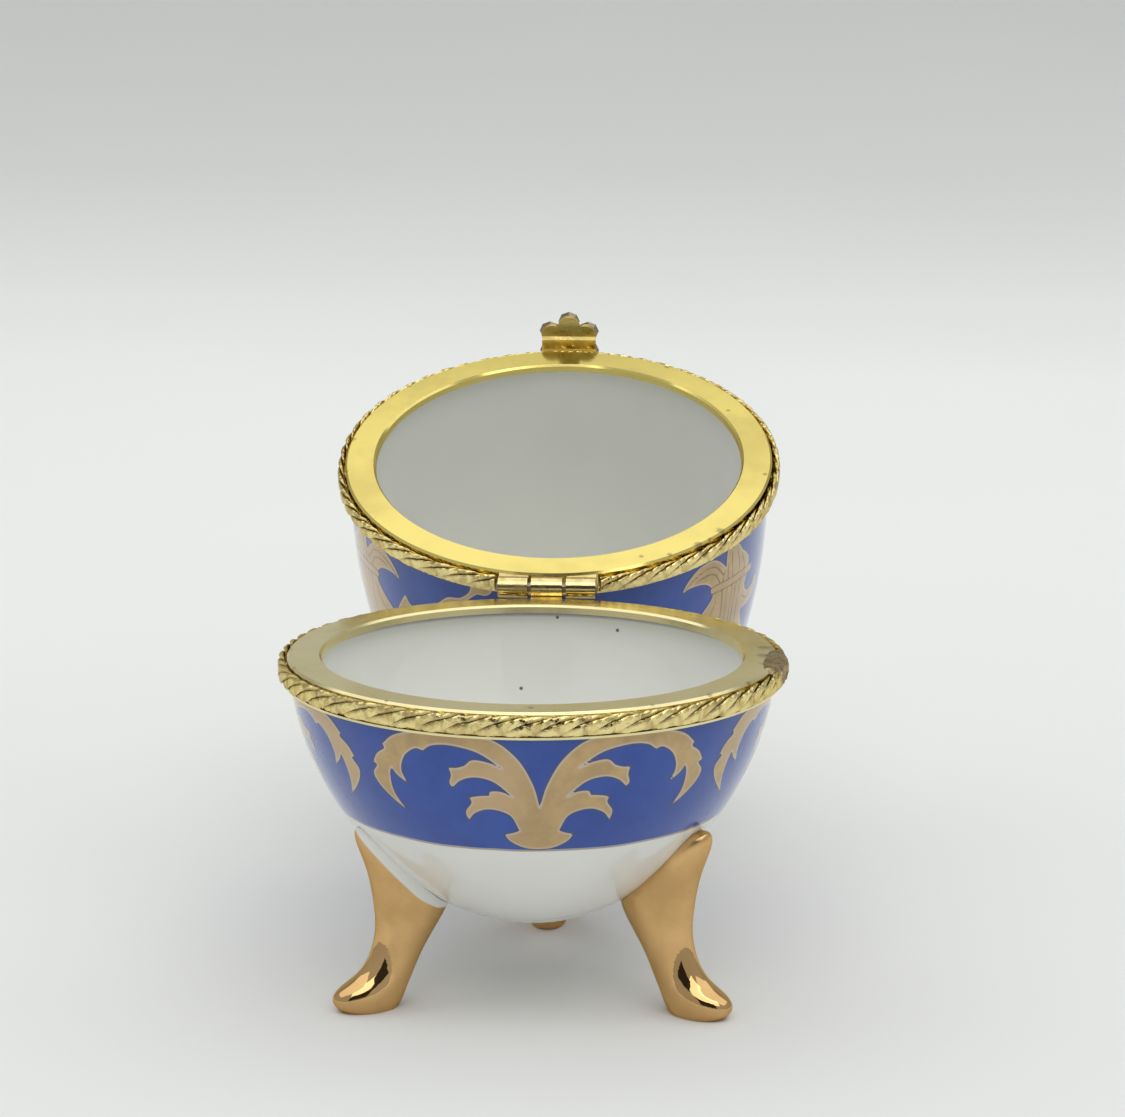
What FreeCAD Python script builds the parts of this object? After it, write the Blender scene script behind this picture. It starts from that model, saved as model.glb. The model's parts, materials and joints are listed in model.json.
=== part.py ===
"""Porcelain trinket box: an egg-shaped box on three gilded feet, standing open.

Millimetres, +Z up. The box is drawn about the bowl's own axis and then moved back by
FRAME_SHIFT, so that the origin is on the floor under the middle of the open box. The hinge
is at the back, +Y, and the clasp closes on the front, -Y. Every lid piece is drawn closed
and then turned open about the hinge axis, until the lid's dome rests on the floor.
"""
import FreeCAD, Part
import math
import os

# Driving dimensions
RIM_Z = 38.0                # height of the bowl's brass face above the floor
FACE_R = 27.0               # outer radius of the flat brass faces
MOUTH_R = 23.2              # inner radius of the flat brass faces
PARTING_GAP = 0.15          # between the two brass faces when the box is closed
HINGE_Y = 28.73             # hinge axis behind the bowl's axis
HINGE_RISE = 0.89           # hinge axis above the bowl's brass face
OPEN_ANGLE = 158.4          # how far the lid swings before its dome meets the floor
FRAME_SHIFT = 29.5          # from the bowl's axis to the middle of the open box

# Porcelain
BOWL_R = 26.67              # radius that the bowl's egg outline starts from
BOWL_DEPTH = 28.65          # depth of the bowl's egg outline
BOWL_POWERS = (1.67, 1.93)  # the two powers that shape the bowl's outline
LID_R = 26.6                # radius that the lid's egg outline starts from
LID_DEPTH = 51.4            # depth of the lid's egg outline
LID_POWERS = (2.3, 1.7)     # the two powers that shape the lid's outline
SHELL_TOP = 1.7             # egg outlines start this far from the brass face
WALL = 2.3                  # porcelain wall
NECK_R = 26.3               # ground neck that the brass collar slips over
NECK_TOP = 0.95             # end of the neck below the brass face
NECK_FOOT = 2.9             # shoulder of the neck below the brass face
OUTLINE_STEPS = 7           # points along each egg outline

# Brass collar, one on the bowl and one on the lid
FLANGE = 0.8                # thickness of the flat face
LIP_WALL = 0.7              # the lip turned down into the mouth
LIP_DEPTH = 0.95
LIP_LEAN = 0.1              # the lip leans this far into the mouth
SKIRT_WALL = 0.55           # the skirt outside the porcelain
SKIRT_DEPTH = 2.8
SKIRT_FLARE = 0.35          # bead rolled out at the skirt's edge
EDGE_ROUND = 0.25           # broken edges of the flat face

# Rope trim around each skirt
ROPE_TOP = 0.45             # below the brass face
ROPE_FOOT = 2.4
ROPE_R = 28.1
ROPE_BELLY = 0.5            # how far down the rope's rounded shoulder reaches
SOLDER_ANGLE = -5.0         # where the bowl's rope ends meet, from +X
SOLDER_WIDTH = 6.4
SOLDER_TOP = 0.1            # below the brass face
SOLDER_FOOT = 2.2
SOLDER_PROUD = 0.2          # how far the lump stands out past the rope
SOLDER_SHOULDER = 0.5       # its rounded top and foot

# Feet
FEET_SHIFT = 0.7            # the feet were set this far to the right of the bowl's axis
FOOT_ANGLES = {"leg_front_left": 210.0, "leg_front_right": 330.0, "leg_rear": 90.0}
# height below the brass face, inner and outer reach from the axis, half width
FOOT_SECTIONS = (
    (17.3, 19.6, 21.9, 0.9),
    (18.2, 18.2, 22.1, 1.9),
    (20.0, 16.0, 21.6, 2.5),
    (22.5, 13.4, 20.7, 2.8),
    (25.5, 11.1, 20.1, 2.7),
    (28.5, 12.2, 19.8, 2.5),
    (31.5, 14.2, 20.3, 2.3),
    (34.5, 15.7, 22.5, 2.4),
    (36.3, 16.5, 24.9, 2.5),
    (37.4, 17.0, 24.6, 2.3),
    (38.0, 18.2, 23.2, 1.7),
)

# Hinge
KNUCKLE_R = 1.3
PIN_R = 0.6
PIN_CLEARANCE = 0.05
BOWL_KNUCKLE_HALF = 1.85    # half length of the middle knuckle
KNUCKLE_GAP = 0.45
LEAF_FOOT = 2.3             # how far each leaf runs down its skirt
LEAF_WRAP = 0.9             # how far each leaf reaches around the knuckle, before and behind the axis
LEAF_TOE = 0.5              # leaf thickness where it lies on the skirt
LEAF_INSET = 1.5            # leaves are drawn into the collar, then cut back to its skirt
LID_KNUCKLE_END = 5.8       # outer end of the lid's knuckles
PIN_HALF = 6.1

# Clasp
FLOWER_BACK = 28.75         # back of the flower's plate, in front of the bowl's axis
FLOWER_DROP = 0.05          # flower's centre below the lid's brass face
FLOWER_PLATE = 0.6
PETAL_REACH = 2.55          # flower's centre to each petal's centre
PETAL_R = 1.45
PETALS = 6
STONE_REACH = 2.95          # flower's centre to each outer stone's centre
STONE_R = 1.43
STONE_DEPTH = 0.9
STONE_FACETS = 8
STONE_LEVELS = ((0.75, 0.0), (1.0, 0.45), (0.55, 1.0))  # back, girdle, table: (width, depth) shares
TONGUE_HALF = 3.6
TONGUE_WALL = 0.35
TONGUE_TOP = 2.9            # the tongue's ends and bends, above and below the lid's brass face
TONGUE_BEND = 0.7
TONGUE_STEP = 0.2
TONGUE_FOOT = 1.2
TONGUE_BITE = 0.5           # how far its top end reaches into the rope

V = FreeCAD.Vector
UP = V(0, 0, 1)
HINGE_POINT = V(0, HINGE_Y, RIM_Z + HINGE_RISE)
LID_Z = RIM_Z + PARTING_GAP


def ring(points):
    """Turn a closed outline of (radius, height) points about the bowl's axis."""
    outline = Part.makePolygon([V(r, 0, z) for r, z in points + points[:1]])
    return Part.Face(outline).revolve(V(0, 0, 0), UP, 360)


def side_plate(points, x_low, x_high):
    """A plate with its outline in (y, z), between two x positions."""
    outline = Part.makePolygon([V(x_low, y, z) for y, z in points + points[:1]])
    return Part.Face(outline).extrude(V(x_high - x_low, 0, 0))


def rod(radius, x_low, x_high):
    """A round bar along the hinge axis."""
    return Part.makeCylinder(radius, x_high - x_low, V(x_low, HINGE_Y, HINGE_POINT.z), V(1, 0, 0))


def egg_points(radius, depth, powers):
    """Points (radius, height) of an egg outline, from the rim down to the pole."""
    points = []
    for step in range(OUTLINE_STEPS + 1):
        down = math.sin(0.5 * math.pi * step / OUTLINE_STEPS)
        across = max(0.0, 1 - down ** powers[0]) ** (1 / powers[1])
        points.append(V(radius * across, 0, RIM_Z - SHELL_TOP - depth * down))
    return points


def egg_edge(radius, depth, powers):
    """A smooth edge through the egg outline, upright at the rim and level at the pole."""
    curve = Part.BSplineCurve()
    curve.interpolate(
        Points=egg_points(radius, depth, powers), InitialTangent=V(0, 0, -1), FinalTangent=V(-1, 0, 0)
    )
    return curve.toShape()


def line(start, end):
    return Part.LineSegment(start, end).toShape()


def egg_shell(radius, depth, powers):
    """Porcelain shell, mouth up, with a ground neck for its collar."""
    outer = egg_edge(radius, depth, powers)
    inner = egg_edge(radius - WALL, depth - WALL, powers)
    shoulder_z = RIM_Z - NECK_FOOT
    start_outer = outer.Curve.value(outer.FirstParameter)
    start_inner = inner.Curve.value(inner.FirstParameter)
    pole_outer = outer.Curve.value(outer.LastParameter)
    pole_inner = inner.Curve.value(inner.LastParameter)
    mouth = V(start_inner.x, 0, RIM_Z - NECK_TOP)
    lip = V(start_outer.x, 0, RIM_Z - NECK_TOP)
    edges = [outer, line(pole_outer, pole_inner), inner, line(start_inner, mouth)]
    edges += [line(mouth, lip), line(lip, start_outer)]
    outline = Part.Wire(Part.__sortEdges__(edges))
    shell = Part.Face(outline).revolve(V(0, 0, 0), UP, 360)
    ground_off = ring([
        (NECK_R, RIM_Z), (radius + WALL, RIM_Z), (radius + WALL, shoulder_z), (NECK_R, shoulder_z),
    ])
    return shell.cut(ground_off)


def collar():
    """Brass collar for the bowl: flat face, lip into the mouth, skirt with a rolled edge."""
    skirt_in = FACE_R - SKIRT_WALL
    foot = RIM_Z - SKIRT_DEPTH
    flare = FACE_R + SKIRT_FLARE
    return ring([
        (MOUTH_R, RIM_Z - EDGE_ROUND), (MOUTH_R + EDGE_ROUND, RIM_Z),
        (FACE_R - EDGE_ROUND, RIM_Z), (FACE_R, RIM_Z - EDGE_ROUND),
        (FACE_R, foot + SKIRT_FLARE), (flare, foot + EDGE_ROUND), (flare, foot),
        (skirt_in, foot), (skirt_in, RIM_Z - FLANGE),
        (MOUTH_R + LIP_WALL, RIM_Z - FLANGE), (MOUTH_R + LIP_WALL - LIP_LEAN, RIM_Z - LIP_DEPTH),
        (MOUTH_R - LIP_LEAN, RIM_Z - LIP_DEPTH),
    ])


def cement():
    """The bed of cement that holds the collar on the porcelain's neck."""
    skirt_in = FACE_R - SKIRT_WALL
    lip_out = MOUTH_R + LIP_WALL
    return ring([
        (lip_out, RIM_Z - FLANGE), (skirt_in, RIM_Z - FLANGE), (skirt_in, RIM_Z - SKIRT_DEPTH),
        (NECK_R, RIM_Z - SKIRT_DEPTH), (NECK_R, RIM_Z - NECK_TOP), (lip_out, RIM_Z - NECK_TOP),
    ])


def rope(gap_half):
    """The rope trim's envelope, with a gap at the back where the hinge is."""
    shoulder_r = ROPE_R - 0.5 * ROPE_BELLY
    trim = ring([
        (FACE_R, RIM_Z - ROPE_TOP), (shoulder_r, RIM_Z - ROPE_TOP),
        (ROPE_R, RIM_Z - ROPE_TOP - ROPE_BELLY), (ROPE_R, RIM_Z - ROPE_FOOT + ROPE_BELLY),
        (shoulder_r, RIM_Z - ROPE_FOOT), (FACE_R, RIM_Z - ROPE_FOOT),
    ])
    gap = Part.makeBox(2 * gap_half, FACE_R, RIM_Z, V(-gap_half, 0.5 * FACE_R, 0))
    return trim.cut(gap)


def lid_from_bowl_side(shape):
    """Turn a piece drawn for the bowl over onto the closed lid."""
    return shape.mirror(V(0, 0, 0.5 * (RIM_Z + LID_Z)), UP)


def foot(angle):
    """A gilded foot, lofted through rounded sections from the bowl's side to its sole."""
    wires = []
    for drop, inner, outer, half_width in FOOT_SECTIONS:
        reach = 0.5 * (outer - inner)
        middle = V(0.5 * (outer + inner), 0, RIM_Z - drop)
        long_axis, short_axis = V(reach, 0, 0), V(0, half_width, 0)
        if half_width > reach:
            ellipse = Part.Ellipse(middle + short_axis, middle + long_axis, middle)
        else:
            ellipse = Part.Ellipse(middle + long_axis, middle + short_axis, middle)
        wires.append(Part.Wire(ellipse.toShape()))
    shape = Part.makeLoft(wires, True, False)
    above_floor = Part.makeBox(2 * FACE_R, 2 * FACE_R, RIM_Z, V(0, -FACE_R, 0))
    shape = shape.common(above_floor)
    shape.rotate(V(0, 0, 0), UP, angle)
    shape.translate(V(FEET_SHIFT, 0, 0))
    return shape


def faceted_stone(radius, depth, x, y, z):
    """A cut stone set in the flower: flat back against the plate, table to the front."""
    turn = 2 * math.pi / STONE_FACETS
    wires = []
    for width, forward in STONE_LEVELS:
        reach = width * radius
        corners = [
            V(x + reach * math.cos(turn * k), y - forward * depth, z + reach * math.sin(turn * k))
            for k in range(STONE_FACETS)
        ]
        wires.append(Part.makePolygon(corners + corners[:1]))
    return Part.makeLoft(wires, True, True)


def petal_centres(reach):
    """Centres (x, z) around the closed flower: one straight up and one straight down."""
    centre_z = LID_Z - FLOWER_DROP
    turn = 2 * math.pi / PETALS
    return [
        (reach * math.sin(turn * k), centre_z + reach * math.cos(turn * k))
        for k in range(PETALS)
    ]


def flower_plate():
    """Six rounded petals cut from one plate."""
    forward = V(0, -1, 0)
    plate = Part.makeCylinder(PETAL_REACH, FLOWER_PLATE, V(0, -FLOWER_BACK, LID_Z - FLOWER_DROP), forward)
    for x, z in petal_centres(PETAL_REACH):
        plate = plate.fuse(Part.makeCylinder(PETAL_R, FLOWER_PLATE, V(x, -FLOWER_BACK, z), forward))
    return plate.removeSplitter()


def solder_lump():
    """The lump of solder that joins the ends of the bowl's rope trim."""
    low, high = RIM_Z - SOLDER_FOOT, RIM_Z - SOLDER_TOP
    proud_r = ROPE_R + SOLDER_PROUD
    lump = ring([
        (FACE_R, low), (proud_r, low + SOLDER_SHOULDER), (proud_r, high - SOLDER_SHOULDER),
        (proud_r - SOLDER_SHOULDER, high), (FACE_R, high),
    ])
    wedge = Part.makeBox(2 * FACE_R, SOLDER_WIDTH, 2 * RIM_Z, V(0, -0.5 * SOLDER_WIDTH, 0))
    lump = lump.common(wedge)
    lump.rotate(V(0, 0, 0), UP, SOLDER_ANGLE)
    return lump


pieces = {}
lid_pieces = {}

# Bowl: porcelain, feet, collar and trim
bowl_shell = egg_shell(BOWL_R, BOWL_DEPTH, BOWL_POWERS)
bowl_solid = Part.Face(Part.Wire(Part.__sortEdges__([
    egg_edge(BOWL_R, BOWL_DEPTH, BOWL_POWERS),
    line(V(0, 0, RIM_Z - SHELL_TOP - BOWL_DEPTH), V(0, 0, RIM_Z - SHELL_TOP)),
    line(V(0, 0, RIM_Z - SHELL_TOP), V(BOWL_R, 0, RIM_Z - SHELL_TOP)),
]))).revolve(V(0, 0, 0), UP, 360)
pieces["bowl_shell"] = bowl_shell
for name, angle in FOOT_ANGLES.items():
    pieces[name] = foot(angle).cut(bowl_solid)
bowl_collar = collar()
pieces["bowl_cement"] = cement()
pieces["bowl_bezel"] = bowl_collar
bowl_rope = rope(BOWL_KNUCKLE_HALF + KNUCKLE_GAP)
solder = solder_lump()
pieces["bowl_rope_trim"] = bowl_rope.cut(solder)
pieces["bowl_rope_solder"] = solder

# Hinge: the middle knuckle and the pin belong to the bowl, the outer knuckles to the lid
knuckle_low = BOWL_KNUCKLE_HALF + KNUCKLE_GAP
bowl_leaf = side_plate(
    [
        (FACE_R - LEAF_INSET, RIM_Z), (FACE_R - LEAF_INSET, RIM_Z - LEAF_FOOT),
        (FACE_R + LEAF_TOE, RIM_Z - LEAF_FOOT), (HINGE_Y + LEAF_WRAP, RIM_Z),
        (HINGE_Y, HINGE_POINT.z), (HINGE_Y - LEAF_WRAP, RIM_Z),
    ],
    -BOWL_KNUCKLE_HALF, BOWL_KNUCKLE_HALF,
)
middle_barrel = rod(KNUCKLE_R, -BOWL_KNUCKLE_HALF, BOWL_KNUCKLE_HALF)
collar_core = ring([(0, RIM_Z + 1), (FACE_R, RIM_Z + 1), (FACE_R, 0), (0, 0)])
flare_ring = ring([
    (0, RIM_Z - SKIRT_DEPTH + SKIRT_FLARE), (FACE_R + SKIRT_FLARE, RIM_Z - SKIRT_DEPTH + SKIRT_FLARE),
    (FACE_R + SKIRT_FLARE, 0), (0, 0),
])
pieces["bowl_hinge_leaf"] = bowl_leaf.cut(middle_barrel).cut(collar_core).cut(flare_ring)
pieces["bowl_hinge_knuckle"] = middle_barrel.cut(rod(PIN_R, -PIN_HALF, PIN_HALF))
pin = rod(PIN_R, -PIN_HALF, PIN_HALF)
end_edges = [edge for edge in pin.Edges if edge.BoundBox.XLength < PIN_R]
pieces["hinge_pin"] = pin.makeFillet(0.5 * PIN_R, end_edges)

# Lid: porcelain, collar and trim, all turned over from the bowl's side
lid_pieces["lid_shell"] = lid_from_bowl_side(egg_shell(LID_R, LID_DEPTH, LID_POWERS))
lid_pieces["lid_cement"] = lid_from_bowl_side(cement())
lid_pieces["lid_bezel"] = lid_from_bowl_side(bowl_collar)
lid_pieces["lid_rope_trim"] = lid_from_bowl_side(rope(LID_KNUCKLE_END + KNUCKLE_GAP))

lid_core = ring([(0, 0), (FACE_R, 0), (FACE_R, 2 * RIM_Z), (0, 2 * RIM_Z)])
lid_flare = lid_from_bowl_side(flare_ring)
for side, name in ((-1, "left"), (1, "right")):
    x_low = min(side * knuckle_low, side * LID_KNUCKLE_END)
    x_high = max(side * knuckle_low, side * LID_KNUCKLE_END)
    barrel = rod(KNUCKLE_R, x_low, x_high)
    leaf = side_plate(
        [
            (FACE_R - LEAF_INSET, LID_Z + EDGE_ROUND), (HINGE_Y - LEAF_WRAP, LID_Z + EDGE_ROUND),
            (HINGE_Y, HINGE_POINT.z), (HINGE_Y + LEAF_WRAP, HINGE_POINT.z + LEAF_WRAP),
            (FACE_R + LEAF_TOE, LID_Z + LEAF_FOOT), (FACE_R - LEAF_INSET, LID_Z + LEAF_FOOT),
        ],
        x_low, x_high,
    )
    lid_pieces["lid_hinge_leaf_" + name] = leaf.cut(barrel).cut(lid_core).cut(lid_flare)
    lid_pieces["lid_hinge_knuckle_" + name] = barrel.cut(rod(PIN_R + PIN_CLEARANCE, -PIN_HALF, PIN_HALF))

# Clasp: a flower of set stones on a spring tongue, soldered to the front of the lid's trim
lid_pieces["clasp_flower"] = flower_plate()
flower_front = -FLOWER_BACK - FLOWER_PLATE
stones = [faceted_stone(STONE_R, STONE_DEPTH, x, flower_front, z) for x, z in petal_centres(STONE_REACH)]
lid_pieces["clasp_petal_stones"] = Part.makeCompound(stones)
lid_pieces["clasp_centre_stone"] = faceted_stone(
    STONE_R, STONE_DEPTH, 0, flower_front, LID_Z - FLOWER_DROP
)
tongue_root = -ROPE_R + TONGUE_BITE
tongue_back = -FLOWER_BACK + TONGUE_WALL
tongue = side_plate(
    [
        (-FLOWER_BACK, LID_Z + TONGUE_TOP), (tongue_root, LID_Z + TONGUE_TOP),
        (tongue_root, LID_Z + TONGUE_BEND), (tongue_back, LID_Z + TONGUE_BEND - TONGUE_STEP),
        (tongue_back, LID_Z - TONGUE_FOOT + TONGUE_WALL), (-FLOWER_BACK, LID_Z - TONGUE_FOOT),
    ],
    -TONGUE_HALF, TONGUE_HALF,
)
lid_pieces["clasp_tongue"] = tongue.cut(lid_pieces["lid_rope_trim"]).cut(lid_core)

for name, shape in lid_pieces.items():
    shape.rotate(HINGE_POINT, V(1, 0, 0), -OPEN_ANGLE)
    pieces[name] = shape

os.makedirs("parts", exist_ok=True)
for name, shape in pieces.items():
    shape.translate(V(0, -FRAME_SHIFT, 0))
    shape.exportStep("parts/" + name + ".step")
    box = shape.BoundBox
    print(f"{name:24s} solids {len(shape.Solids)} valid {shape.isValid()} volume {shape.Volume:9.2f} "
          f"x {box.XMin:.2f} {box.XMax:.2f} y {box.YMin:.2f} {box.YMax:.2f} z {box.ZMin:.2f} {box.ZMax:.2f}")
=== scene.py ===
import json
import math
import bpy
import numpy as np
from mathutils import Matrix, Vector


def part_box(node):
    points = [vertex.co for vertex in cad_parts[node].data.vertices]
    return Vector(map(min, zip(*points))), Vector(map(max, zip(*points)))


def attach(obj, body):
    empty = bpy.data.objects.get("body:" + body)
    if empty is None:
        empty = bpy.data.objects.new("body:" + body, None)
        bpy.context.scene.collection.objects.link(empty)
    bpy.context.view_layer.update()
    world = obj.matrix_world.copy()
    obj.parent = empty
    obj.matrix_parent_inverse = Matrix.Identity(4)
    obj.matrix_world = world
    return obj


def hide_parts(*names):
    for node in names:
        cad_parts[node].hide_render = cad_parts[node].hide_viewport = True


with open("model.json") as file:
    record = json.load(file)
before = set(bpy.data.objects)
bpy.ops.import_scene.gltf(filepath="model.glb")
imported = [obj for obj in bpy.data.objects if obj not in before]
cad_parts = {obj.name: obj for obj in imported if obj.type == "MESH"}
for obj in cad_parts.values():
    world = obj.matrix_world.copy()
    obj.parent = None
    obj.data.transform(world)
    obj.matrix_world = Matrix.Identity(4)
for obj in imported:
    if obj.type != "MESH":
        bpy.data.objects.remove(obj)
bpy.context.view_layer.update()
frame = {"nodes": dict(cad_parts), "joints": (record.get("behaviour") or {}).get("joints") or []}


# ---------------------------------------------------------------- the porcelain bowl
# The bowl is the lower half of a porcelain egg, slip-cast in a plaster mould. It is glazed
# white all over, with a cobalt band painted around the outside under a gold hairline. Four
# matt gold scroll transfers are fired onto the band.
face_low, face_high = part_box("bowl_bezel")
bowl_mouth = Matrix.Translation((
    0.5 * (face_low.x + face_high.x), 0.5 * (face_low.y + face_high.y), face_high.z
))
MM = 0.001                      # sizes below are in millimetres
WALL = 2.3
NECK_R = 26.3                   # the unglazed neck under the collar
NECK_TOP, NECK_FOOT, SHELL_TOP = 0.95, 2.9, 1.7
SCROLL_TURN = 5.2               # degrees that the front scroll stands to the right
RAISED_GOLD = 0.035             # thickness of the fired gold
BOWL_BAND = 16.1                # foot of the blue band below the brass face
BOWL_R, BOWL_DEPTH = 26.67, 28.65
BOWL_POWERS = (1.67, 1.93)      # the two powers that shape the bowl's outline
BOWL_EVEN = (66, 18.4)          # rows of mesh under the painting, and the drop that they reach
SCROLL_R = 26.7                 # the scroll is laid out around this radius
AROUND = 640                    # columns of mesh around each shell
NO_GOLD = -5.0                  # the gold's depth where there is none near
# Kiln specks inside the bowl: degrees from the front, radius and drop
BOWL_SPECKS = ((176.5, 24.3, 1.7), (159.2, 24.3, 2.8), (-173.2, 22.5, 9.9), (131, 22.9, 6.2))

# One half of a scroll: across from its middle, and down from the brass face. Each run is one
# smooth stroke of the outline and ends in a sharp tip or notch.
SCROLL_RUNS = (
    ((0.0, 10.7), (0.8, 7.9), (2.6, 4.85), (5.6, 2.85), (11.0, 2.4), (15.7, 3.35), (17.9, 4.9)),
    ((17.9, 4.9), (17.5, 5.2), (18.7, 6.0), (19.5, 7.1)),
    ((19.5, 7.1), (19.0, 7.4), (19.8, 8.4), (19.4, 9.6), (18.2, 10.85), (16.4, 12.2)),
    ((16.4, 12.2), (17.4, 10.3), (17.4, 8.3), (17.0, 7.3)),
    ((17.0, 7.3), (16.4, 8.1), (15.2, 8.9)),
    ((15.2, 8.9), (15.7, 7.4), (15.0, 5.7), (13.6, 4.7), (12.7, 4.85)),
    ((12.7, 4.85), (11.6, 4.15), (9.5, 3.95), (6.6, 4.55), (4.1, 6.15)),
    ((4.1, 6.15), (5.6, 5.55), (7.2, 5.4), (8.1, 6.1)),
    ((8.1, 6.1), (9.0, 6.4), (9.9, 6.45)),
    ((9.9, 6.45), (9.7, 7.3), (10.0, 8.2), (9.7, 8.75)),
    ((9.7, 8.75), (8.6, 7.8), (7.0, 7.35), (5.0, 7.8), (3.0, 9.45)),
    ((3.0, 9.45), (4.2, 8.9), (5.4, 8.9), (5.6, 9.4)),
    ((5.6, 9.4), (6.7, 9.5), (7.9, 9.75)),
    ((7.9, 9.75), (7.7, 10.4), (8.5, 11.5), (8.35, 12.65)),
    ((8.35, 12.65), (7.4, 11.6), (5.6, 11.05), (3.4, 11.7), (2.35, 13.6)),
    ((2.35, 13.6), (3.2, 13.9), (4.2, 14.1)),
    ((4.2, 14.1), (3.5, 15.0), (1.8, 15.8), (0.0, 16.0)),
)


def stroke(points, steps=6):
    """A smooth line through the points of one run, without its last point."""
    p = np.array(points, float)
    ends = np.vstack([2 * p[0] - p[1], p, 2 * p[-1] - p[-2]])
    line = []
    for k in range(len(p) - 1):
        a, b, c, d = ends[k : k + 4]
        for t in np.linspace(0, 1, steps, endpoint=False):
            line.append(0.5 * (
                2 * b + (c - a) * t + (2 * a - 5 * b + 4 * c - d) * t * t
                + (3 * b - a - 3 * c + d) * t ** 3
            ))
    return line


def outline(runs):
    """The closed outline that the runs make, one after another."""
    return np.array([point for run in runs for point in stroke(run)] + [runs[-1][-1]])


def depth_inside(points, edge, closed=True):
    """How far each point lies inside the closed outline, and negative outside it.
    An open line gives the plain distance."""
    nearest = np.full(len(points), 1e9)
    crossings = np.zeros(len(points), int)
    ends = np.roll(edge, -1, axis=0) if closed else edge[1:]
    starts = edge if closed else edge[:-1]
    for a, b in zip(starts, ends):
        along = b - a
        length2 = along @ along
        if length2 < 1e-12:
            continue
        share = np.clip(((points - a) @ along) / length2, 0, 1)
        gap = points - a - share[:, None] * along
        nearest = np.minimum(nearest, (gap * gap).sum(1))
        spans = (a[1] > points[:, 1]) != (b[1] > points[:, 1])
        if closed and spans.any():
            reach = a[0] + (points[:, 1] - a[1]) * along[0] / (along[1] if along[1] else 1e-12)
            crossings += spans & (points[:, 0] < reach)
    return np.sqrt(nearest) * np.where(crossings % 2 == 1, 1.0, -1.0) if closed else np.sqrt(nearest)


def egg_profile(radius, depth, powers, steps, even_to):
    """Rows of (radius, drop) down an egg outline: even as far as even_to, then wider to the pole."""
    drops = list(np.linspace(SHELL_TOP, even_to, steps))
    turn = math.asin((even_to - SHELL_TOP) / depth)
    drops += [SHELL_TOP + depth * math.sin(a) for a in np.linspace(turn, 0.5 * math.pi, 26)[1:]]
    rows = []
    for drop in drops:
        share = min(1.0, (drop - SHELL_TOP) / depth)
        rows.append((radius * max(0.0, 1 - share ** powers[0]) ** (1 / powers[1]), drop))
    return rows


def at_mouth(radius, angle, drop):
    """A point around a mouth: its angle is from the bowl's front, or from the hinge on the lid."""
    return (radius * math.sin(angle), -radius * math.cos(angle), -drop)


def spin(name, rows, around, place):
    """A closed skin turned about the mouth's axis from rows of (radius, drop). No radius makes a pole."""
    points, faces, starts = [], [], []
    for radius, drop in rows:
        starts.append((len(points), radius > 1e-6))
        count = around if radius > 1e-6 else 1
        for k in range(count):
            points.append(at_mouth(radius, 2 * math.pi * k / around, drop))
    for (a, a_ring), (b, b_ring) in zip(starts, starts[1:] + starts[:1]):
        for k in range(around):
            n = (k + 1) % around
            if a_ring and b_ring:
                faces.append((a + k, b + k, b + n, a + n))
            elif a_ring:
                faces.append((a + k, b, a + n))
            elif b_ring:
                faces.append((a, b + k, b + n))
    mesh = bpy.data.meshes.new(name)
    mesh.from_pydata([Vector(p) * MM for p in points], [], faces)
    mesh.transform(place)
    mesh.polygons.foreach_set("use_smooth", [True] * len(mesh.polygons))
    mesh.update()
    piece = bpy.data.objects.new(name, mesh)
    bpy.context.scene.collection.objects.link(piece)
    return piece, np.array(points)


def porcelain_rows(radius, depth, powers, steps, even_to):
    """The whole section of a shell: ground neck, outside to the pole, and inside back up to the mouth."""
    outside = [row for row in egg_profile(radius, depth, powers, steps, even_to) if row[1] > NECK_FOOT + 0.05]
    inside = egg_profile(radius - WALL, depth - WALL, powers, 20, even_to * 0.6)
    start = outside[0][0]
    rows = [(inside[0][0], NECK_TOP), (NECK_R, NECK_TOP), (NECK_R, NECK_FOOT), (start, NECK_FOOT)]
    return rows + outside + inside[::-1], 4 + len(outside)


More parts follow.
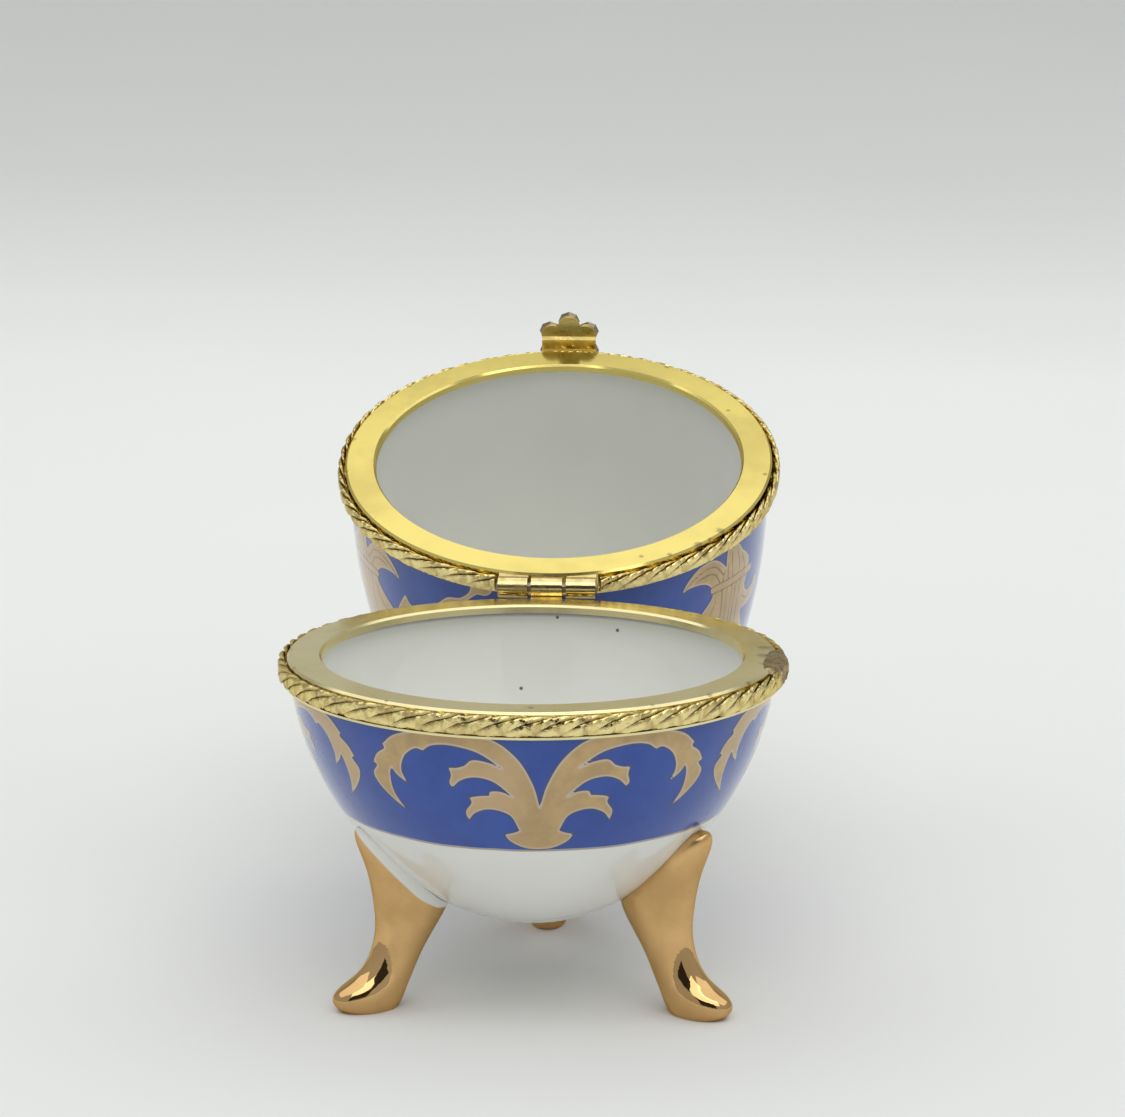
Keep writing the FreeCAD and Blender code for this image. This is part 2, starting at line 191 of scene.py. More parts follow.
def glaze(name, band_foot, veined, mouth, specks):
    """Clear glaze over white porcelain, with the cobalt band, its hairline, the gold and kiln specks."""
    material = bpy.data.materials.new(name)
    material.use_nodes = True
    tree = material.node_tree
    shader = tree.nodes["Principled BSDF"]
    shader.inputs["Coat Weight"].default_value = 1.0
    shader.inputs["Coat Roughness"].default_value = 0.03
    shader.inputs["Coat IOR"].default_value = 1.5
    shader.inputs["Specular IOR Level"].default_value = 0.1

    def node(kind, **settings):
        made = tree.nodes.new(kind)
        for key, value in settings.items():
            setattr(made, key, value)
        return made

    def math_node(operation, a, b):
        made = node("ShaderNodeMath", operation=operation)
        for socket, value in zip(made.inputs, (a, b)):
            if isinstance(value, (int, float)):
                socket.default_value = value
            else:
                tree.links.new(value, socket)
        return made.outputs[0]

    def ramp(value, low, high):
        """0 below low, 1 above high, smooth between."""
        made = node("ShaderNodeMapRange", interpolation_type="SMOOTHSTEP")
        tree.links.new(value, made.inputs["Value"])
        made.inputs["From Min"].default_value = low
        made.inputs["From Max"].default_value = high
        return made.outputs["Result"]

    def blend(share, a, b):
        made = node("ShaderNodeMix", data_type="RGBA")
        tree.links.new(share, made.inputs["Factor"])
        for socket, value in ((made.inputs[6], a), (made.inputs[7], b)):
            if isinstance(value, tuple):
                socket.default_value = value + (1.0,)
            else:
                tree.links.new(value, socket)
        return made.outputs[2]

    def fog(scale, detail=2.0, roughness=0.5):
        made = node("ShaderNodeTexNoise")
        tree.links.new(place.outputs["Object"], made.inputs["Vector"])
        made.inputs["Scale"].default_value = scale
        made.inputs["Detail"].default_value = detail
        made.inputs["Roughness"].default_value = roughness
        return made.outputs["Fac"]

    place = node("ShaderNodeTexCoord")
    drop = node("ShaderNodeAttribute", attribute_name="below_rim").outputs["Fac"]
    gold_depth = node("ShaderNodeAttribute", attribute_name="gold_depth").outputs["Fac"]
    outside = node("ShaderNodeAttribute", attribute_name="outside").outputs["Fac"]

    # White body: a cool shade with faint clouds, and kiln specks at (degrees, radius, drop)
    white = blend(fog(70.0), (0.77, 0.77, 0.725), (0.845, 0.85, 0.80))
    for turn, radius, low in specks:
        gap = node("ShaderNodeVectorMath", operation="DISTANCE")
        tree.links.new(place.outputs["Object"], gap.inputs[0])
        gap.inputs[1].default_value = mouth @ (Vector(at_mouth(radius, math.radians(turn), low)) * MM)
        white = blend(ramp(gap.outputs["Value"], 0.0003, 0.0001), white, (0.12, 0.11, 0.10))

    # Cobalt: uneven where the brush laid it thick or thin
    cobalt = blend(ramp(fog(160.0, 4.0, 0.6), 0.3, 0.7), (0.014, 0.058, 0.315), (0.022, 0.078, 0.380))
    wander = math_node("MULTIPLY", math_node("SUBTRACT", fog(90.0), 0.5), 0.5)
    drop = math_node("ADD", drop, wander)
    on_band = math_node("MULTIPLY", ramp(drop, band_foot + 0.04, band_foot - 0.04), outside)
    colour = blend(on_band, white, cobalt)
    line_low = ramp(drop, band_foot - 0.02, band_foot + 0.05)
    line_high = ramp(drop, band_foot + 0.30, band_foot + 0.16)
    hairline = math_node("MULTIPLY", math_node("MULTIPLY", line_low, line_high), outside)
    colour = blend(math_node("MULTIPLY", hairline, 0.75), colour, (0.23, 0.15, 0.08))

    # Gold transfer: a dark keyline, a pale rim where the gold thins, and a warm uneven field
    field = blend(ramp(fog(300.0, 5.0, 0.65), 0.3, 0.7), (0.42, 0.285, 0.125), (0.56, 0.385, 0.17))
    field = blend(ramp(fog(75.0, 1.0), 0.35, 0.7), field, (0.56, 0.385, 0.21))
    gold = blend(ramp(gold_depth, 0.08, 0.34), (0.55, 0.46, 0.36), field)
    if veined:
        vein = node("ShaderNodeAttribute", attribute_name="vein_gap").outputs["Fac"]
        gold = blend(ramp(vein, 0.17, 0.07), gold, (0.24, 0.145, 0.08))
    keyline = math_node("MULTIPLY", ramp(gold_depth, -0.22, -0.06), outside)
    colour = blend(math_node("MULTIPLY", keyline, 0.8), colour, (0.075, 0.07, 0.085))
    on_gold = math_node("MULTIPLY", ramp(gold_depth, -0.02, 0.05), outside)
    colour = blend(on_gold, colour, gold)
    tree.links.new(colour, shader.inputs["Base Color"])
    tree.links.new(math_node("MULTIPLY", on_gold, 0.35), shader.inputs["Metallic"])
    tree.links.new(math_node("MULTIPLY_ADD", on_gold, 0.12), shader.inputs["Roughness"])
    shader.inputs["Roughness"].links[0].from_node.inputs[2].default_value = 0.24
    ripple = node("ShaderNodeBump")
    ripple.inputs["Strength"].default_value = 0.05
    ripple.inputs["Distance"].default_value = 0.0004
    tree.links.new(fog(210.0, 3.0), ripple.inputs["Height"])
    tree.links.new(ripple.outputs["Normal"], shader.inputs["Normal"])
    tree.links.new(ripple.outputs["Normal"], shader.inputs["Coat Normal"])
    return material


def note(mesh, name, values):
    """Keep one number for each point of a mesh, for its glaze to read."""
    mesh.attributes.new(name, "FLOAT", "POINT").data.foreach_set("value", np.asarray(values, np.float32))


def raise_gold(mesh, depth):
    """Lift the surface by the thickness of the gold, rounded over at its edge."""
    lift = np.clip((depth + 0.12) / 0.24, 0, 1)
    lift = lift * lift * (3 - 2 * lift) * RAISED_GOLD * MM
    at = np.zeros(len(mesh.vertices) * 3)
    mesh.vertices.foreach_get("co", at)
    normals = np.array([v.normal for v in mesh.vertices])
    mesh.vertices.foreach_set("co", (at.reshape(-1, 3) + normals * lift[:, None]).ravel())
    mesh.update()


bowl_rows, bowl_outside = porcelain_rows(BOWL_R, BOWL_DEPTH, BOWL_POWERS, *BOWL_EVEN)
porcelain_bowl, at = spin("porcelain_bowl", bowl_rows, AROUND, bowl_mouth)
drop = -at[:, 2]
girth = np.degrees(np.arctan2(at[:, 0], -at[:, 1])) - SCROLL_TURN
girth = (girth + 45) % 90 - 45
across = np.abs(np.radians(girth)) * SCROLL_R
is_outside = np.arange(len(at)) < 2 + AROUND * bowl_outside
gold_depth = np.full(len(at), NO_GOLD)
painted = is_outside & (drop < 18) & (across < 21)
half_scroll = outline(SCROLL_RUNS)
whole_scroll = np.vstack([half_scroll, half_scroll[::-1] * [-1, 1]])
spots = np.column_stack([across[painted], drop[painted]])
gold_depth[painted] = depth_inside(spots, whole_scroll)
note(porcelain_bowl.data, "below_rim", drop)
note(porcelain_bowl.data, "gold_depth", gold_depth)
note(porcelain_bowl.data, "outside", is_outside)
raise_gold(porcelain_bowl.data, gold_depth)
porcelain_bowl.data.materials.append(glaze("bowl_glaze", BOWL_BAND, False, bowl_mouth, BOWL_SPECKS))
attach(porcelain_bowl, "bowl")
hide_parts("bowl_shell")


# ---------------------------------------------------------------- the three feet
# Each foot is a cast porcelain slipper, luted to the bowl before firing and then gilded. The
# gold is mirror-bright on the toes, where it was burnished, and satin above them.
def metal(name, bright, dull, rough, dulling=0.5, grain=0.02, scale=300.0, stain=None):
    """Solid metal with clouds of duller metal, a fine grain, and stains as (scale, level, colour)."""
    material = bpy.data.materials.new(name)
    material.use_nodes = True
    tree = material.node_tree
    shader = tree.nodes["Principled BSDF"]
    shader.inputs["Metallic"].default_value = 1.0
    shader.inputs["Specular Tint"].default_value = (0.76, 0.68, 0.48, 1.0)
    place = tree.nodes.new("ShaderNodeTexCoord")
    clouds = tree.nodes.new("ShaderNodeTexNoise")
    clouds.inputs["Scale"].default_value = scale
    clouds.inputs["Detail"].default_value = 5.0
    clouds.inputs["Roughness"].default_value = 0.6
    tree.links.new(place.outputs["Object"], clouds.inputs["Vector"])
    share = tree.nodes.new("ShaderNodeMapRange")
    share.interpolation_type = "SMOOTHSTEP"
    share.inputs["From Min"].default_value = dulling - 0.14
    share.inputs["From Max"].default_value = dulling + 0.14
    tree.links.new(clouds.outputs["Fac"], share.inputs["Value"])
    tint = tree.nodes.new("ShaderNodeMix")
    tint.data_type = "RGBA"
    tint.inputs[6].default_value = bright + (1.0,)
    tint.inputs[7].default_value = dull + (1.0,)
    tree.links.new(share.outputs["Result"], tint.inputs["Factor"])
    colour = tint.outputs[2]
    if stain:
        blots = tree.nodes.new("ShaderNodeTexNoise")
        blots.inputs["Scale"].default_value = stain[0]
        blots.inputs["Detail"].default_value = 6.0
        blots.inputs["Roughness"].default_value = 0.7
        tree.links.new(place.outputs["Object"], blots.inputs["Vector"])
        worn = tree.nodes.new("ShaderNodeMapRange")
        worn.inputs["From Min"].default_value = stain[1]
        worn.inputs["From Max"].default_value = stain[1] + 0.06
        tree.links.new(blots.outputs["Fac"], worn.inputs["Value"])
        stained = tree.nodes.new("ShaderNodeMix")
        stained.data_type = "RGBA"
        tree.links.new(worn.outputs["Result"], stained.inputs["Factor"])
        tree.links.new(colour, stained.inputs[6])
        stained.inputs[7].default_value = stain[2] + (1.0,)
        colour = stained.outputs[2]
    tree.links.new(colour, shader.inputs["Base Color"])
    gloss = tree.nodes.new("ShaderNodeMapRange")
    gloss.inputs["To Min"].default_value = rough[0]
    gloss.inputs["To Max"].default_value = rough[1]
    tree.links.new(share.outputs["Result"], gloss.inputs["Value"])
    tree.links.new(gloss.outputs["Result"], shader.inputs["Roughness"])
    fine = tree.nodes.new("ShaderNodeTexNoise")
    fine.inputs["Scale"].default_value = 4.0 * scale
    fine.inputs["Detail"].default_value = 3.0
    tree.links.new(place.outputs["Object"], fine.inputs["Vector"])
    bump = tree.nodes.new("ShaderNodeBump")
    bump.inputs["Strength"].default_value = grain
    bump.inputs["Distance"].default_value = 0.0003
    tree.links.new(fine.outputs["Fac"], bump.inputs["Height"])
    tree.links.new(bump.outputs["Normal"], shader.inputs["Normal"])
    return material


def cover(node, material):
    """Give a CAD piece its finish."""
    mesh = frame["nodes"][node].data
    mesh.materials.clear()
    mesh.materials.append(material)


burnished_gold = metal(
    "burnished_gold", (0.72, 0.46, 0.20), (0.62, 0.385, 0.165), (0.30, 0.42), 0.5, 0.03, 120.0,
    (420.0, 0.70, (0.25, 0.13, 0.07)),
)
# The toe begins this far from the bowl's axis and below this height, both in metres
TOE_REACH = (0.0180, 0.0190)
TOE_HEIGHT = (0.0105, 0.0090)


def polish_toes(material):
    """Mirror gold on the upper side of each toe, where the agate could reach; the rest stays satin."""
    tree = material.node_tree
    rough = tree.nodes["Principled BSDF"].inputs["Roughness"]
    place = tree.nodes.new("ShaderNodeTexCoord")
    shift = tree.nodes.new("ShaderNodeVectorMath")
    shift.operation = "SUBTRACT"
    tree.links.new(place.outputs["Object"], shift.inputs[0])
    shift.inputs[1].default_value = bowl_mouth.translation
    flat = tree.nodes.new("ShaderNodeVectorMath")
    flat.operation = "MULTIPLY"
    tree.links.new(shift.outputs[0], flat.inputs[0])
    flat.inputs[1].default_value = (1.0, 1.0, 0.0)
    reach = tree.nodes.new("ShaderNodeVectorMath")
    reach.operation = "LENGTH"
    tree.links.new(flat.outputs[0], reach.inputs[0])
    height = tree.nodes.new("ShaderNodeSeparateXYZ")
    tree.links.new(place.outputs["Object"], height.inputs[0])
    limits = []
    for socket, (low, high) in ((reach.outputs["Value"], TOE_REACH), (height.outputs["Z"], TOE_HEIGHT)):
        limit = tree.nodes.new("ShaderNodeMapRange")
        limit.interpolation_type = "SMOOTHSTEP"
        limit.inputs["From Min"].default_value = low
        limit.inputs["From Max"].default_value = high
        tree.links.new(socket, limit.inputs["Value"])
        limits.append(limit.outputs["Result"])
    toe = tree.nodes.new("ShaderNodeMath")
    toe.operation = "MULTIPLY"
    tree.links.new(limits[0], toe.inputs[0])
    tree.links.new(limits[1], toe.inputs[1])
    mixed = tree.nodes.new("ShaderNodeMix")
    tree.links.new(toe.outputs[0], mixed.inputs["Factor"])
    tree.links.new(rough.links[0].from_socket, mixed.inputs[2])
    mixed.inputs[3].default_value = 0.05
    tree.links.new(mixed.outputs[0], rough)


polish_toes(burnished_gold)
for foot in ("leg_front_left", "leg_front_right", "leg_rear"):
    cover(foot, burnished_gold)

# The gilder stopped short on the left foot, so its shoulder shows the white glaze. The edge of the
# gold falls steeply from the foot's outer side, then less and less: the white is above all of
# three slanted lines, each a weight for X and the sum that the line keeps, in metres.
SHOULDER_LINES = ((1.15, -0.0009), (0.8, 0.0032), (0.36, 0.0075))
EDGE_BLUR = 0.0001


def bare_shoulder(material):
    """White glaze instead of gold above the three slanted lines."""
    tree = material.node_tree
    shader = tree.nodes["Principled BSDF"]
    place = tree.nodes.new("ShaderNodeTexCoord")
    bare = None
    for lean, level in SHOULDER_LINES:
        weigh = tree.nodes.new("ShaderNodeVectorMath")
        weigh.operation = "DOT_PRODUCT"
        tree.links.new(place.outputs["Object"], weigh.inputs[0])
        weigh.inputs[1].default_value = (lean, 0.0, 1.0)
        limit = tree.nodes.new("ShaderNodeMapRange")
        limit.inputs["From Min"].default_value = level - EDGE_BLUR
        limit.inputs["From Max"].default_value = level + EDGE_BLUR
        tree.links.new(weigh.outputs["Value"], limit.inputs["Value"])
        if bare is None:
            bare = limit.outputs["Result"]
            continue
        both = tree.nodes.new("ShaderNodeMath")
        both.operation = "MULTIPLY"
        tree.links.new(bare, both.inputs[0])
        tree.links.new(limit.outputs["Result"], both.inputs[1])
        bare = both.outputs[0]
    gilt = tree.nodes.new("ShaderNodeMath")
    gilt.operation = "SUBTRACT"
    gilt.inputs[0].default_value = 1.0
    tree.links.new(bare, gilt.inputs[1])
    tree.links.new(gilt.outputs[0], shader.inputs["Metallic"])
    tree.links.new(bare, shader.inputs["Coat Weight"])
    white_top = tree.nodes.new("ShaderNodeMix")
    white_top.data_type = "RGBA"
    tree.links.new(bare, white_top.inputs["Factor"])
    tree.links.new(shader.inputs["Base Color"].links[0].from_socket, white_top.inputs[6])
    white_top.inputs[7].default_value = (0.80, 0.805, 0.76, 1.0)
    tree.links.new(white_top.outputs[2], shader.inputs["Base Color"])


half_gilded = burnished_gold.copy()
bare_shoulder(half_gilded)
cover("leg_front_left", half_gilded)


# ---------------------------------------------------------------- cement and collar of the bowl
# A spun brass collar is cemented over the ground neck of the porcelain. Its flat face is
# polished, its lip turns down into the mouth, and its skirt ends in a rolled bead.
def mottled(name, dark, light, roughness):
    """A fine-grained stuff that wanders between two colours."""
    material = bpy.data.materials.new(name)
    material.use_nodes = True
    tree = material.node_tree
    shader = tree.nodes["Principled BSDF"]
    shader.inputs["Roughness"].default_value = roughness
    cloud = tree.nodes.new("ShaderNodeTexNoise")
    cloud.inputs["Scale"].default_value = 900.0
    tint = tree.nodes.new("ShaderNodeMix")
    tint.data_type = "RGBA"
    tint.inputs[6].default_value = dark + (1.0,)
    tint.inputs[7].default_value = light + (1.0,)
    tree.links.new(cloud.outputs["Fac"], tint.inputs["Factor"])
    tree.links.new(tint.outputs[2], shader.inputs["Base Color"])
    return material


cement = mottled("rim_cement", (0.55, 0.52, 0.45), (0.68, 0.65, 0.58), 0.85)
cover("bowl_cement", cement)


def tarnish(material, node, mouth, spots):
    """Ragged brown spots on a brass face: the degrees around it, the radius and the reach of each."""
    tree = material.node_tree
    colour = tree.nodes["Principled BSDF"].inputs["Base Color"]
    place = tree.nodes.new("ShaderNodeTexCoord")
    ragged = tree.nodes.new("ShaderNodeTexNoise")
    ragged.inputs["Scale"].default_value = 900.0
    ragged.inputs["Detail"].default_value = 5.0
    ragged.inputs["Roughness"].default_value = 0.7
    tree.links.new(place.outputs["Object"], ragged.inputs["Vector"])
    to_piece = frame["nodes"][node].matrix_world.inverted() @ mouth
    for turn, radius, reach in spots:
        gap = tree.nodes.new("ShaderNodeVectorMath")
        gap.operation = "DISTANCE"
        tree.links.new(place.outputs["Object"], gap.inputs[0])
        gap.inputs[1].default_value = to_piece @ (Vector(at_mouth(radius, math.radians(turn), 0)) * MM)
        worn = tree.nodes.new("ShaderNodeMath")
        worn.operation = "MULTIPLY_ADD"
        tree.links.new(ragged.outputs["Fac"], worn.inputs[0])
        worn.inputs[1].default_value = 2.4 * reach * MM
        tree.links.new(gap.outputs["Value"], worn.inputs[2])
        share = tree.nodes.new("ShaderNodeMapRange")
        share.interpolation_type = "SMOOTHSTEP"
        share.inputs["From Min"].default_value = 2.2 * reach * MM
        share.inputs["From Max"].default_value = 1.4 * reach * MM
        share.inputs["To Max"].default_value = 0.6
        tree.links.new(worn.outputs[0], share.inputs["Value"])
        spotted = tree.nodes.new("ShaderNodeMix")
        spotted.data_type = "RGBA"
        tree.links.new(share.outputs["Result"], spotted.inputs["Factor"])
        tree.links.new(colour.links[0].from_socket, spotted.inputs[6])
        spotted.inputs[7].default_value = (0.20, 0.15, 0.08, 1.0)
        tree.links.new(spotted.outputs[2], colour)


dulled_brass = metal("dulled_brass", (0.86, 0.76, 0.42), (0.79, 0.69, 0.37), (0.16, 0.28), 0.55, 0.012, 90.0)
dulled_brass.node_tree.nodes["Principled BSDF"].inputs["Specular Tint"].default_value = (1.0, 0.97, 0.88, 1.0)
tarnish(dulled_brass, "bowl_bezel", bowl_mouth, (
    (97, 26.2, 1.7), (89, 25.6, 1.3), (81, 26.4, 1.2), (3, 24.9, 0.5), (-88, 27.0, 0.7),
    (-70, 26.9, 0.5), (31, 26.6, 0.4), (47, 26.7, 0.5), (62, 26.9, 0.6), (-31, 26.7, 0.4),
))
cover("bowl_bezel", dulled_brass)


# ---------------------------------------------------------------- the rope trims
# A rope of flat brass wires, each lapping over the next, is twisted up, bent to a hoop and
# soldered around the skirt of each collar. The bowl's rope meets at its right side in solder.
ROPE_MIDDLE = 27.56             # from the axis to the middle of the rope
ROPE_DROP = 1.30                # the middle of the rope below the brass face
ROPE_THICK, ROPE_TALL = 0.53, 1.08
ROPE_TURNS = 14
WIRES = 4
BOWL_ROPE_GAP = 4.9             # degrees each side of the back that the hinge needs
# Across one wire: the share of its width, its reach from the middle of the rope, and its shade, which is
# painted shade that darkens the colour in the crevice between wires
WIRE_SECTION = (
    (0.0, 1.0, 0.0), (0.2, 1.04, 0.0), (0.4, 1.02, 0.0), (0.6, 0.92, 0.0), (0.8, 0.76, 0.3),
    (0.95, 0.6, 0.9),
)


def rope_hoop(name, ends, place, seed, sink=0.0):
    """Flat wires twisted about one hoop and nipped at every wire's width, between two headings in degrees."""
    rng = np.random.default_rng(seed)
    first, last = (math.radians(a) for a in ends)
    nips = ROPE_TURNS * WIRES / (2 * math.pi)
    steps = int(nips * 13 * (last - first))
    wobble = np.convolve(rng.normal(0, 1, steps + 32), np.ones(31) / 31, "valid")
    dents = np.convolve(rng.normal(0, 1, steps + 6), np.ones(5) / 5, "valid") * 0.09
    section = [(2 * math.pi * (wire + share) / WIRES, reach, shade) for wire in range(WIRES)
               for share, reach, shade in WIRE_SECTION]
    around = len(section)
    points, faces, shades = [], [], []
    for step in range(steps + 1):
        angle = first + (last - first) * step / steps
        lay = angle * ROPE_TURNS + 0.5 * wobble[step]
        for turn, reach, shade in section:
            phase = (angle * nips + 0.12 * math.sin(turn + lay) + 0.9 * wobble[step]) % 1
            nip = max(0.0, 1 - abs(phase - 0.5) / 0.1)
            reach = reach + dents[step] - 0.12 * nip
            out = max(-1.0, min(0.82, reach * math.cos(turn + lay)))
            up = max(-1.0, min(1.0, reach * math.sin(turn + lay)))
            radius = ROPE_MIDDLE + ROPE_THICK * out
            points.append(at_mouth(radius, angle, ROPE_DROP + sink - ROPE_TALL * up))
            # Painted shade: the colour is darkened in the crevices between wires and in the nips
            shades.append(max(shade, 0.45 * nip))
        if step:
            a, b = (step - 1) * around, step * around
            for k in range(around):
                n = (k + 1) % around
                faces.append((a + k, a + n, b + n, b + k))
    faces.append(tuple(range(around - 1, -1, -1)))
    faces.append(tuple(range(steps * around, (steps + 1) * around)))
    mesh = bpy.data.meshes.new(name)
    mesh.from_pydata([Vector(p) * MM for p in points], [], faces)
    mesh.transform(place)
    mesh.polygons.foreach_set("use_smooth", [True] * len(faces))
    mesh.set_sharp_from_angle(angle=math.radians(28))
    mesh.update()
    note(mesh, "crevice_shade", shades)
    hoop = bpy.data.objects.new(name, mesh)
    bpy.context.scene.collection.objects.link(hoop)
    return hoop


rope_brass = metal(
    "rope_brass", (0.90, 0.76, 0.34), (0.62, 0.47, 0.20), (0.10, 0.26), 0.56, 0.25, 700.0,
    (1300.0, 0.66, (0.22, 0.14, 0.06)),
)
rope_tree = rope_brass.node_tree
rope_colour = rope_tree.nodes["Principled BSDF"].inputs["Base Color"]
# Painted shade: the rope's colour turns dark brown where its crevice shade is high, in the crevices and nips
crevice_shade = rope_tree.nodes.new("ShaderNodeAttribute")
crevice_shade.attribute_name = "crevice_shade"
painted_crevice_shade = rope_tree.nodes.new("ShaderNodeMix")
painted_crevice_shade.data_type = "RGBA"
rope_tree.links.new(crevice_shade.outputs["Fac"], painted_crevice_shade.inputs["Factor"])
rope_tree.links.new(rope_colour.links[0].from_socket, painted_crevice_shade.inputs[6])
painted_crevice_shade.inputs[7].default_value = (0.13, 0.075, 0.03, 1.0)
rope_tree.links.new(painted_crevice_shade.outputs[2], rope_colour)
bowl_rope = rope_hoop("bowl_rope", (BOWL_ROPE_GAP - 180, 180 - BOWL_ROPE_GAP), bowl_mouth, 3)
bowl_rope.data.materials.append(rope_brass)
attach(bowl_rope, "bowl")
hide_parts("bowl_rope_trim")

# The solder is a grey-brown lump that was dabbed over the rope's joint and the edge of the
# collar's face with an iron, and never filed.
solder_low, solder_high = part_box("bowl_rope_solder")
solder_at = bowl_mouth.inverted() @ (0.5 * (solder_low + solder_high))
SOLDER_TURN = math.atan2(solder_at.x, -solder_at.y)
SOLDER_HALF = math.radians(9.5)
SOLDER_SECTION = (
    (25.5, 0.03), (25.9, -0.08), (26.6, -0.1), (27.3, -0.1), (27.8, -0.05), (28.05, 0.25), (28.2, 0.8),
    (28.2, 1.4), (28.05, 2.0), (27.5, 2.35), (27.0, 1.9), (26.8, 1.0), (26.6, 0.4),
)
SOLDER_HEART = (27.3, 1.1)      # radius and drop that the lump thins towards at its ends
SOLDER_LIMIT = 28.27            # the lump stands out no further than this
rng = np.random.default_rng(11)
columns = 15
lump_points, lump_faces = [], []
for column in range(columns + 1):
    across_share = 2 * column / columns - 1
    fullness = math.sqrt(max(0.03, 1 - across_share ** 2))
    for radius, drop in SOLDER_SECTION:
        angle = SOLDER_TURN + SOLDER_HALF * across_share + rng.uniform(-0.012, 0.012)
        swell = (radius - SOLDER_HEART[0]) * (0.4 + 0.6 * fullness)
        radius = min(SOLDER_LIMIT, SOLDER_HEART[0] + swell + rng.uniform(-0.16, 0.08))
        if drop > 0.1:
            sag = (drop - SOLDER_HEART[1]) * (0.75 + 0.25 * fullness)
            drop = SOLDER_HEART[1] + sag + rng.uniform(-0.12, 0.12)
        elif drop < 0:
            drop = drop + rng.uniform(-0.03, 0.05)
        lump_points.append(Vector(at_mouth(radius, angle, drop)) * MM)
ring = len(SOLDER_SECTION)
for column in range(columns):
    a, b = column * ring, (column + 1) * ring
    for k in range(ring):
        n = (k + 1) % ring
        lump_faces += [(a + k, b + k, b + n), (a + k, b + n, a + n)]
lump_faces.append(tuple(range(ring)))
lump_faces.append(tuple(range((columns + 1) * ring - 1, columns * ring - 1, -1)))
lump_mesh = bpy.data.meshes.new("solder_lump")
lump_mesh.from_pydata(lump_points, [], lump_faces)
lump_mesh.transform(bowl_mouth)
lump_mesh.materials.append(metal(
    "solder", (0.47, 0.38, 0.25), (0.24, 0.19, 0.12), (0.25, 0.5), 0.5, 0.6, 900.0,
    (1500.0, 0.6, (0.13, 0.10, 0.07)),
))
solder_lump = bpy.data.objects.new("solder_lump", lump_mesh)
bpy.context.scene.collection.objects.link(solder_lump)
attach(solder_lump, "bowl")
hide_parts("bowl_rope_solder")


# ---------------------------------------------------------------- hinge
# Three brass knuckles share one steel pin. The middle knuckle's leaf is soldered to the bowl's
# collar, the outer two to the lid's, and all are polished on top and dark in the cracks.
hinge_brass = metal(
    "hinge_brass", (0.84, 0.69, 0.33), (0.62, 0.48, 0.22), (0.14, 0.30), 0.55, 0.05, 500.0,
    (700.0, 0.66, (0.16, 0.12, 0.07)),
)
for part in ("leaf", "knuckle"):
    cover("bowl_hinge_" + part, hinge_brass)
    cover("lid_hinge_" + part + "_left", hinge_brass)
    cover("lid_hinge_" + part + "_right", hinge_brass)
pin_steel = metal("pin_steel", (0.40, 0.31, 0.24), (0.24, 0.18, 0.13), (0.28, 0.42), 0.5, 0.05, 600.0)
cover("hinge_pin", pin_steel)


# ---------------------------------------------------------------- the porcelain lid
# The lid is the taller half of the egg, cast, glazed and banded like the bowl. Its transfers are
# veined palmettes tied with a ribbon, a third of the way round from one another.
hinge = frame["joints"][0]
pin_at = Matrix.Translation(hinge["pos_m"])
CLOSED_TURN = math.radians(hinge["range_deg"][1])
PARTING_GAP = 0.15
lid_mouth = (
    pin_at @ Matrix.Rotation(-CLOSED_TURN, 4, "X") @ pin_at.inverted()
    @ Matrix.Translation((0, 0, PARTING_GAP * MM)) @ bowl_mouth @ Matrix.Rotation(math.pi, 4, "X")
)
LID_R, LID_DEPTH = 26.6, 51.4
LID_POWERS = (2.3, 1.7)         # the two powers that shape the lid's outline
LID_EVEN = (96, 26.0)           # rows of mesh under the painting, and the drop that they reach
LID_BAND = 24.0                 # head of the blue band, measured from the brass face
PALMETTE_AXIS = -4.0            # the lid's pattern is turned a little from the hinge
PALMETTE_STEP = 120.0
NO_VEIN = 5.0                   # the gap to a vein where there is none near
TIE_HALF = 0.55                 # half the width of the ribbon
# Across from the palmette's middle, positive towards the hinge, and down from the brass face.
# The side towards the hinge has an arched petal, and the other side only a small curl.
HINGE_SIDE_RUNS = (
    ((0.0, 2.9), (0.7, 3.2), (1.0, 4.3), (1.1, 6.1)),
    ((1.1, 6.1), (2.4, 4.6), (3.9, 3.7), (6.0, 3.8), (7.7, 4.9), (8.9, 6.5)),
    ((8.9, 6.5), (7.6, 6.2), (5.9, 6.4), (4.5, 7.1), (3.6, 8.4), (3.8, 9.6), (5.3, 11.0), (7.2, 12.4)),
    ((7.2, 12.4), (8.8, 12.5), (9.7, 11.5)),
    ((9.7, 11.5), (10.3, 13.4), (8.8, 14.9), (6.6, 15.0), (4.3, 14.2)),
    ((4.3, 14.2), (3.7, 16.2), (4.4, 18.0), (3.2, 19.8)),
    ((3.2, 19.8), (2.2, 18.8), (1.3, 20.6), (0.0, 22.4)),
)
FAR_SIDE_RUNS = (
    ((0.0, 22.4), (-1.3, 20.6), (-2.2, 18.8), (-3.2, 19.8)),
    ((-3.2, 19.8), (-4.4, 18.0), (-3.6, 16.2), (-3.4, 14.9)),
    ((-3.4, 14.9), (-5.4, 15.3), (-7.0, 14.9), (-7.9, 13.2), (-7.3, 11.7)),
    ((-7.3, 11.7), (-6.6, 12.9), (-5.2, 13.0), (-4.1, 12.3), (-3.7, 11.2)),
    ((-3.7, 11.2), (-4.2, 9.4), (-4.4, 7.6), (-3.6, 6.4), (-2.5, 5.3)),
    ((-2.5, 5.3), (-1.8, 4.2), (-0.8, 3.2), (0.0, 2.9)),
)
